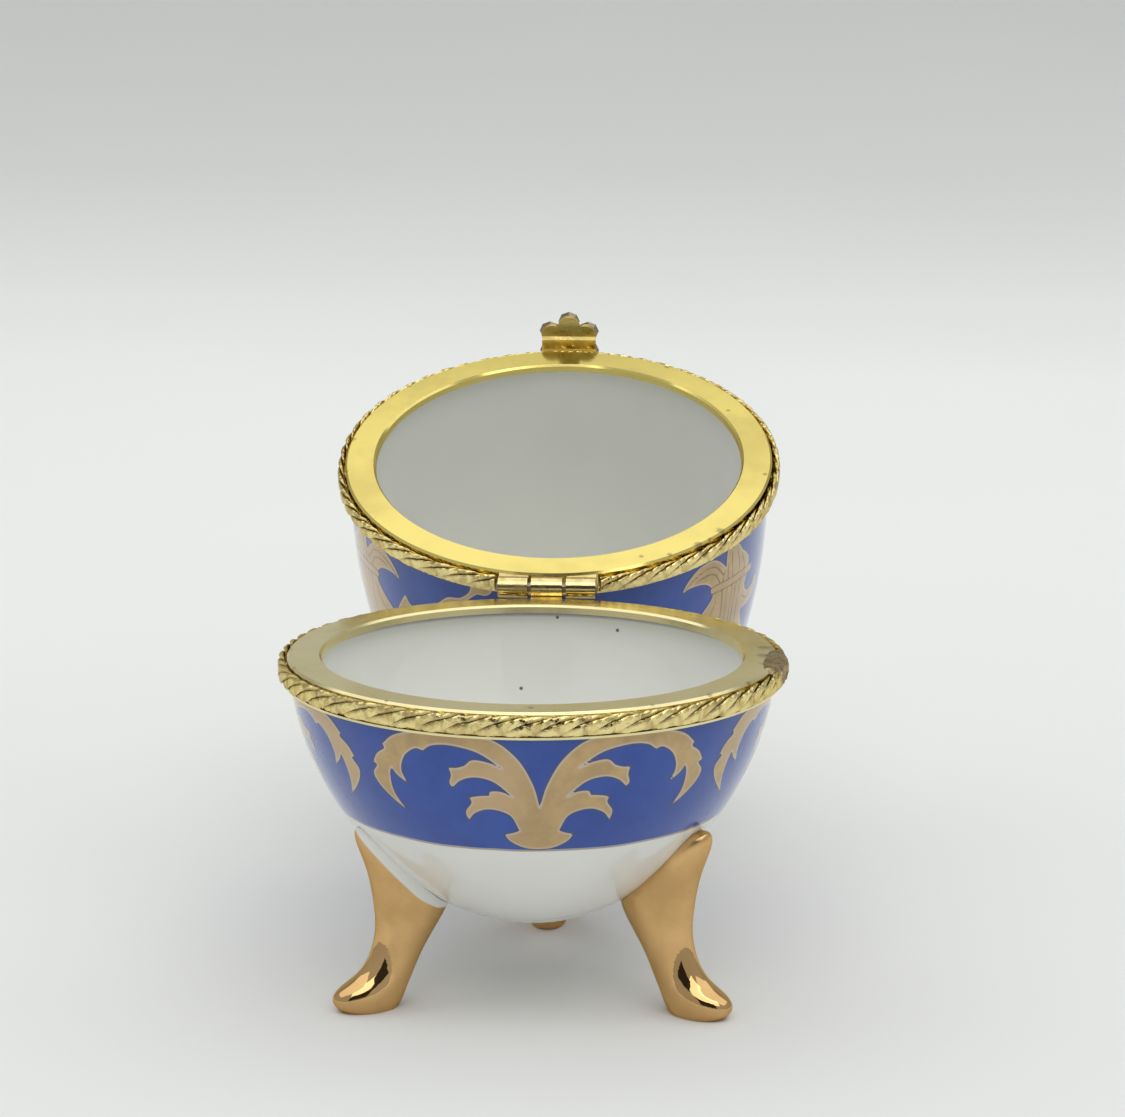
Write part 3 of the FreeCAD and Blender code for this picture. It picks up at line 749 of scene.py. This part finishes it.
VEINS = (
    ((0.0, 4.2), (-0.3, 8.0), (-0.2, 14.0), (0.0, 20.5)),
    ((-1.4, 5.0), (-1.9, 7.4), (-1.2, 10.4), (-0.9, 14.0), (-0.9, 19.2)),
    ((-2.6, 6.2), (-3.2, 8.2), (-2.3, 10.8), (-1.9, 14.6), (-2.6, 18.6)),
    ((0.8, 5.4), (0.7, 8.0), (0.8, 11.0), (0.9, 19.2)),
    ((1.5, 6.6), (1.8, 8.6), (1.7, 10.8), (1.9, 14.6), (2.6, 18.6)),
    ((1.7, 6.9), (3.2, 5.0), (5.0, 4.6), (7.0, 5.2), (8.4, 6.2)),
    ((2.4, 7.6), (3.3, 6.1), (4.8, 5.5), (6.6, 5.7)),
    ((2.9, 10.2), (3.8, 12.0), (5.6, 13.4), (7.8, 13.8), (9.4, 12.8)),
    ((-3.4, 12.9), (-4.6, 13.9), (-6.2, 14.1), (-7.3, 13.0)),
)
TIE = ((3.5, 8.3), (1.3, 8.6), (-1.6, 9.0), (-4.9, 9.4))
# A loose spray and a spike of gold stand left of the hinge: across from the hinge, and down.
SPIKE_RUNS = (
    ((-22.6, 13.0), (-21.3, 10.4), (-20.0, 8.3)),
    ((-20.0, 8.3), (-19.5, 9.3), (-18.4, 10.2), (-17.9, 13.0)),
    ((-17.9, 13.0), (-20.0, 13.4), (-22.6, 13.0)),
)
SPRAY_RUNS = (
    ((-14.6, 7.4), (-13.0, 5.9), (-11.2, 5.4), (-9.9, 4.1), (-9.7, 2.5)),
    ((-9.7, 2.5), (-8.9, 2.0), (-8.0, 2.2), (-8.2, 3.0)),
    ((-8.2, 3.0), (-7.3, 2.9), (-6.9, 3.4), (-7.6, 4.2), (-8.9, 4.3)),
    ((-8.9, 4.3), (-10.0, 5.3), (-11.2, 6.6), (-13.4, 7.4), (-14.2, 9.4)),
    ((-14.2, 9.4), (-15.6, 9.6), (-16.8, 8.8), (-14.6, 7.4)),
)
lid_rows, lid_outside = porcelain_rows(LID_R, LID_DEPTH, LID_POWERS, *LID_EVEN)
porcelain_lid, at = spin("porcelain_lid", lid_rows, AROUND, lid_mouth)
drop = -at[:, 2]
heading = np.degrees(np.arctan2(at[:, 0], -at[:, 1]))
girth = (heading - PALMETTE_AXIS) % PALMETTE_STEP - 0.5 * PALMETTE_STEP
across = np.radians(girth) * LID_R
right_of_hinge = (heading > PALMETTE_AXIS) & (heading < PALMETTE_AXIS + PALMETTE_STEP)
across = np.where(right_of_hinge, -across, across)
is_outside = np.arange(len(at)) < 2 + AROUND * lid_outside
painted = is_outside & (drop < 25) & (np.abs(across) < 12)
palmette = outline(HINGE_SIDE_RUNS + FAR_SIDE_RUNS)
spots = np.column_stack([across[painted], drop[painted]])
near = np.full(painted.sum(), NO_VEIN)
for vein in VEINS:
    near = np.minimum(near, depth_inside(spots, np.array(stroke(vein) + [vein[-1]]), closed=False))
tie_gap = depth_inside(spots, np.array(stroke(TIE) + [TIE[-1]]), closed=False)
near = np.where(tie_gap < TIE_HALF, NO_VEIN, near)
vein_gap = np.full(len(at), NO_VEIN)
vein_gap[painted] = np.minimum(near, np.abs(tie_gap - TIE_HALF))
gold_depth = np.full(len(at), NO_GOLD)
gold_depth[painted] = np.maximum(depth_inside(spots, palmette), TIE_HALF - tie_gap)
spray = is_outside & (drop < 15) & (np.abs(heading + 28) < 26)
beside = np.column_stack([np.radians(heading[spray]) * LID_R, drop[spray]])
for runs in (SPRAY_RUNS, SPIKE_RUNS):
    gold_depth[spray] = np.maximum(gold_depth[spray], depth_inside(beside, outline(runs)))
note(porcelain_lid.data, "below_rim", drop)
note(porcelain_lid.data, "gold_depth", gold_depth)
note(porcelain_lid.data, "vein_gap", vein_gap)
note(porcelain_lid.data, "outside", is_outside)
raise_gold(porcelain_lid.data, gold_depth)
porcelain_lid.data.materials.append(glaze("lid_glaze", LID_BAND, True, lid_mouth, ()))
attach(porcelain_lid, "lid")
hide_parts("lid_shell")


# ---------------------------------------------------------------- cement, collar and rope trim of the lid
# The lid's collar and rope are brass, made and fixed like the bowl's, and have stayed brighter.
# The rope stops short on both sides of the hinge.
cover("lid_cement", cement)
bright_brass = metal("bright_brass", (0.86, 0.71, 0.225), (0.80, 0.65, 0.21), (0.12, 0.22), 0.55, 0.012, 90.0)
tarnish(bright_brass, "lid_bezel", lid_mouth, (
    (42, 26.9, 0.8), (46, 27.0, 0.6), (51, 26.5, 0.7), (26, 25.4, 0.5), (33, 26.6, 0.4),
    (119, 24.4, 0.35), (82, 26.3, 0.4), (-116, 27.3, 0.7), (-98, 27.0, 0.8), (-130, 26.7, 0.4),
    (-81, 26.9, 0.6), (150, 26.6, 0.5),
))
cover("lid_bezel", bright_brass)
LID_ROPE_GAP = 13.2             # degrees each side of the hinge that the rope leaves free
lid_rope = rope_hoop("lid_rope", (LID_ROPE_GAP, 360 - LID_ROPE_GAP), lid_mouth, 5, sink=0.15)
lid_rope.data.materials.append(rope_brass)
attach(lid_rope, "lid")
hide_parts("lid_rope_trim")


# ---------------------------------------------------------------- clasp
# A stamped brass flower holds seven cut crystals. It stands on a springy brass tongue that is
# soldered to the lid's rope and snaps over the bowl's rope when the box is shut.
clasp_brass = metal("clasp_brass", (0.80, 0.64, 0.24), (0.66, 0.52, 0.19), (0.26, 0.40), 0.5, 0.06, 420.0)
cover("clasp_flower", clasp_brass)
cover("clasp_tongue", clasp_brass)
crystal = mottled("foiled_crystal", (0.10, 0.075, 0.045), (0.36, 0.29, 0.18), 0.03)
crystal.node_tree.nodes["Principled BSDF"].inputs["IOR"].default_value = 1.7
crystal.node_tree.nodes["Principled BSDF"].inputs["Metallic"].default_value = 0.55
cover("clasp_petal_stones", crystal)
cover("clasp_centre_stone", crystal)


# ---------------------------------------------------------------- the table, the lights and the camera
# The box stands open on a sheet of matt card that sweeps up behind it, with painted shade that darkens it a
# little at the front and more towards the back, where the light falls off. One large soft lamp hangs overhead
# and a smaller one in front.
SWEEP = (
    (-1.4, 0.0), (0.0, 0.0), (0.40, 0.0), (0.62, 0.025), (0.84, 0.12), (1.02, 0.30), (1.12, 0.56),
    (1.16, 0.95), (1.17, 1.6),
)
CARD_HALF = 1.5
# Painted shade on the card: its tone at some distances behind the middle of the box, in metres
CARD_SHADE_TONES = ((0.0, 0.84), (0.25, 0.91), (0.43, 0.92), (0.53, 0.86), (0.65, 0.71), (0.80, 0.62))
card_points, card_faces = [], []
card_line = stroke(SWEEP, 10) + [SWEEP[-1]]
for y, z in card_line:
    card_points += [(-CARD_HALF, y, z), (CARD_HALF, y, z)]
for k in range(len(card_line) - 1):
    card_faces.append((2 * k, 2 * k + 1, 2 * k + 3, 2 * k + 2))
card_mesh = bpy.data.meshes.new("white_card")
card_mesh.from_pydata(card_points, [], card_faces)
card_mesh.polygons.foreach_set("use_smooth", [True] * len(card_faces))
card = bpy.data.objects.new("white_card", card_mesh)
bpy.context.scene.collection.objects.link(card)
paper = bpy.data.materials.new("matt_card")
paper.use_nodes = True
paper_shader = paper.node_tree.nodes["Principled BSDF"]
paper_shader.inputs["Roughness"].default_value = 0.9
paper_shader.inputs["Specular IOR Level"].default_value = 0.15
paper_cloud = paper.node_tree.nodes.new("ShaderNodeTexNoise")
paper_cloud.inputs["Scale"].default_value = 9.0
paper_place = paper.node_tree.nodes.new("ShaderNodeTexCoord")
paper_depth = paper.node_tree.nodes.new("ShaderNodeSeparateXYZ")
paper.node_tree.links.new(paper_place.outputs["Object"], paper_depth.inputs[0])
paper.node_tree.links.new(paper_place.outputs["Object"], paper_cloud.inputs["Vector"])
# Painted shade: the card's colour follows the table of tones by its distance behind the box
paper_painted_shade = paper.node_tree.nodes.new("ShaderNodeValToRGB")
paper.node_tree.links.new(paper_depth.outputs["Y"], paper_painted_shade.inputs["Fac"])
stops = paper_painted_shade.color_ramp.elements
for k, (reach, tone) in enumerate(CARD_SHADE_TONES):
    stop = stops[k] if k < 1 else stops.new(reach)
    stop.position = reach
    stop.color = (tone, 1.005 * tone, 0.985 * tone, 1.0)
stops.remove(stops[len(stops) - 1])
paper_tint = paper.node_tree.nodes.new("ShaderNodeMix")
paper_tint.data_type = "RGBA"
paper_tint.blend_type = "MULTIPLY"
paper_tint.inputs[7].default_value = (0.96, 0.96, 0.96, 1.0)
paper.node_tree.links.new(paper_cloud.outputs["Fac"], paper_tint.inputs["Factor"])
paper.node_tree.links.new(paper_painted_shade.outputs["Color"], paper_tint.inputs[6])
paper.node_tree.links.new(paper_tint.outputs[2], paper_shader.inputs["Base Color"])
card_mesh.materials.append(paper)


def lamp(name, at, aim, wide, tall, watts, colour):
    """A soft box: a rectangular lamp that faces the point it is aimed at."""
    light = bpy.data.lights.new(name, "AREA")
    light.shape = "RECTANGLE"
    light.size = wide
    light.size_y = tall
    light.energy = watts
    light.color = colour
    holder = bpy.data.objects.new(name, light)
    holder.location = at
    holder.rotation_euler = (Vector(aim) - Vector(at)).to_track_quat("-Z", "Y").to_euler()
    bpy.context.scene.collection.objects.link(holder)


lamp("overhead_lamp", (0.0, 0.17, 0.95), (0, 0.17, 0), 2.4, 1.2, 6.7, (1.0, 1.0, 0.97))
lamp("front_lamp", (0.15, -0.8, 1.15), (0, 0, 0.03), 1.3, 0.9, 5.5, (1.0, 0.99, 0.96))

# A dark cloth hangs behind the camera. Only shiny surfaces show it.
cloth_corners = [(-0.28, -0.8, 0.12), (0.30, -0.8, 0.12), (0.30, -0.8, 0.74), (-0.28, -0.8, 0.74)]
cloth_mesh = bpy.data.meshes.new("dark_cloth")
cloth_mesh.from_pydata(cloth_corners, [], [(0, 1, 2, 3)])
cloth = bpy.data.objects.new("dark_cloth", cloth_mesh)
bpy.context.scene.collection.objects.link(cloth)
felt = bpy.data.materials.new("dark_felt")
felt.use_nodes = True
felt_shader = felt.node_tree.nodes["Principled BSDF"]
felt_shader.inputs["Base Color"].default_value = (0.03, 0.028, 0.026, 1.0)
felt_shader.inputs["Roughness"].default_value = 0.95
cloth_mesh.materials.append(felt)
cloth.visible_camera = False
cloth.visible_diffuse = False
cloth.visible_shadow = False

world = bpy.data.worlds.new("studio")
world.use_nodes = True
world.node_tree.nodes["Background"].inputs["Color"].default_value = (0.93, 0.96, 1.0, 1.0)
world.node_tree.nodes["Background"].inputs["Strength"].default_value = 0.5
bpy.context.scene.world = world

lens = bpy.data.cameras.new("camera")
lens.lens = 100.19
lens.sensor_width = 36
lens.clip_start = 0.01
camera = bpy.data.objects.new("camera", lens)
camera.location = (0.0199, -0.3646, 0.1185)
camera.matrix_world = (
    Matrix.Translation(camera.location) @ Matrix.Rotation(math.radians(2.84), 4, "Z")
    @ Matrix.Rotation(math.radians(78.21), 4, "X") @ Matrix.Rotation(math.radians(0.20), 4, "Z")
)
bpy.context.scene.collection.objects.link(camera)
bpy.context.scene.camera = camera
bpy.context.scene.view_settings.view_transform = "Standard"
